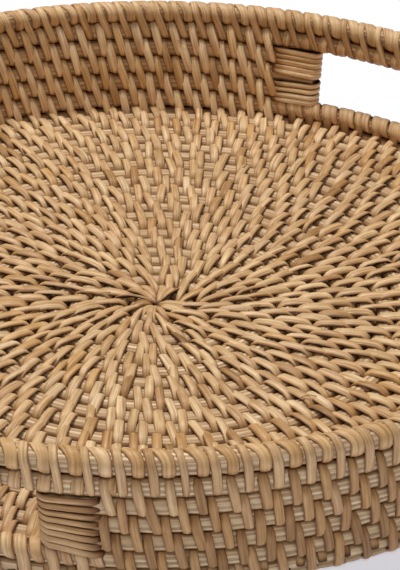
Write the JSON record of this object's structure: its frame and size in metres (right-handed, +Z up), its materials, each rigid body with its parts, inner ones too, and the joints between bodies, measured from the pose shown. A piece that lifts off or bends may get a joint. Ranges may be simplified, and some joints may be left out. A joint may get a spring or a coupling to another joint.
{
  "type": "coiled basket tray",
  "caption": "Round shallow tray basket of coiled rattan, with a flat spiral floor, a low stacked-coil wall, a thick wrapped rim and a hand opening on two sides.",
  "frame": {"origin": "middle of the footprint, on the surface that the basket stands on", "axes": "+Z up out of the open top; +X from the left hand opening to the right one; -Y is the side that both openings are nearer to"},
  "size_m": [0.4, 0.4, 0.0607],
  "materials": {
    "floor_cane": "split cane, natural straw and honey, satin",
    "wall_cane": "split cane, natural tan, satin",
    "rim_cane": "split cane wrapped round a stout core, satin",
    "binding_cane": "flat split cane, wound tight, satin",
    "knot_cane": "bent-over end of the core cane"
  },
  "bodies": {
    "root": {"centre_knot": "knot_cane", "floor_spiral_coil": "floor_cane", "floor_edge_coil": "wall_cane", "sill_coil": "wall_cane", "lower_wall_coil_back": "wall_cane", "lower_wall_coil_front": "wall_cane", "middle_wall_coil_back": "wall_cane", "middle_wall_coil_front": "wall_cane", "upper_wall_coil_back": "wall_cane", "upper_wall_coil_front": "wall_cane", "right_handle_back_binding": "binding_cane", "right_handle_front_binding": "binding_cane", "left_handle_back_binding": "binding_cane", "left_handle_front_binding": "binding_cane", "grip_coil": "wall_cane", "rim_coil": "rim_cane"}
  },
  "joints": []
}
